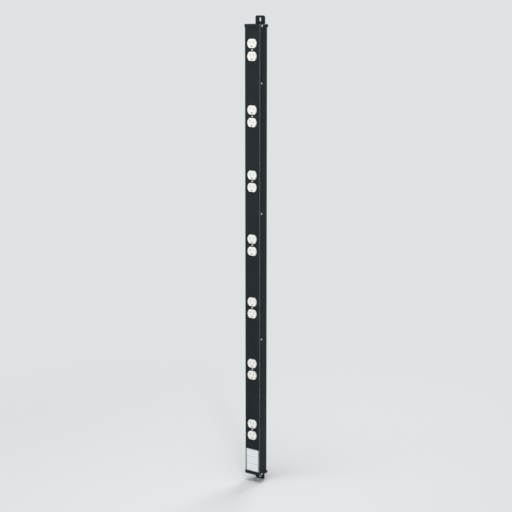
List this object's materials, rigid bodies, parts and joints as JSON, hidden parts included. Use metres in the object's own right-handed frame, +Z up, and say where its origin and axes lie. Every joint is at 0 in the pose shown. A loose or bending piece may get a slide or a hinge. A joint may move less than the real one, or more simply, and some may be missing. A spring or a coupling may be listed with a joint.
{
  "type": "rack power strip",
  "caption": "Tall narrow black steel power strip for a rack, with a column of white duplex outlets, a blank plate, and a supply inlet and reset button in its lower end.",
  "frame": {"origin": "on the wall plane behind the brackets, midway between the two mounting slots", "axes": "+Z up along the strip, +X to the right as seen from the front, +Y into the wall, so the outlets face -Y"},
  "size_m": [0.0654, 0.047, 1.5018],
  "materials": {
    "black_powder_coat": "satin black powder coat with a fine orange-peel texture on folded steel",
    "zinc_plated_steel": "bright zinc plate",
    "white_nylon": "moulded white thermoplastic, semi-gloss",
    "ivory_polyester": "moulded off-white thermoplastic, matt",
    "contact_brass": "stamped brass",
    "nickel_plated_brass": "nickel plate on brass",
    "green_passivated_steel": "green passivated steel screw",
    "black_wire_jacket": "extruded PVC, black",
    "white_wire_jacket": "extruded PVC, white",
    "green_wire_jacket": "extruded PVC, green",
    "black_phenolic": "moulded black phenolic, matt",
    "label_vinyl": "blank white vinyl plate, satin",
    "white_button_acetal": "white acetal, semi-gloss"
  },
  "bodies": {
    "case": {"back_channel": "black_powder_coat", "channel_left_wall": "black_powder_coat", "channel_right_wall": "black_powder_coat", "front_cover": "black_powder_coat", "top_end_cap": "black_powder_coat", "bottom_end_cap": "black_powder_coat", "top_bracket": "black_powder_coat", "bottom_bracket": "black_powder_coat", "bracket_screws": "zinc_plated_steel", "cover_screws": "zinc_plated_steel", "end_cap_screws": "zinc_plated_steel", "centre_screws": "zinc_plated_steel", "pole_screws": "zinc_plated_steel", "block_screws": "zinc_plated_steel", "breaker_nut": "zinc_plated_steel", "duplex_1_strap": "zinc_plated_steel", "duplex_2_strap": "zinc_plated_steel", "duplex_3_strap": "zinc_plated_steel", "duplex_4_strap": "zinc_plated_steel", "duplex_5_strap": "zinc_plated_steel", "duplex_6_strap": "zinc_plated_steel", "duplex_7_strap": "zinc_plated_steel", "duplex_1_face": "white_nylon", "duplex_2_face": "white_nylon", "duplex_3_face": "white_nylon", "duplex_4_face": "white_nylon", "duplex_5_face": "white_nylon", "duplex_6_face": "white_nylon", "duplex_7_face": "white_nylon", "duplex_1_body": "ivory_polyester", "duplex_2_body": "ivory_polyester", "duplex_3_body": "ivory_polyester", "duplex_4_body": "ivory_polyester", "duplex_5_body": "ivory_polyester", "duplex_6_body": "ivory_polyester", "duplex_7_body": "ivory_polyester", "line_contacts": "contact_brass", "earth_contacts": "contact_brass", "line_terminal_screws": "contact_brass", "pole_plates": "contact_brass", "breaker_tabs": "contact_brass", "neutral_contacts": "nickel_plated_brass", "neutral_terminal_screws": "nickel_plated_brass", "earth_terminal_screws": "green_passivated_steel", "bonding_screw": "green_passivated_steel", "line_wires": "black_wire_jacket", "neutral_wires": "white_wire_jacket", "earth_wires": "green_wire_jacket", "terminal_block": "black_phenolic", "breaker_case": "black_phenolic", "inlet_bushing": "black_phenolic", "rating_plate": "label_vinyl"},
    "reset_button": {"reset_button": "white_button_acetal"}
  },
  "joints": [
    {"name": "reset_button_slide", "type": "slide", "parent": "case", "child": "reset_button", "axis": [0, 0, -1], "range_m": [-0.0008, 0.003]}
  ]
}
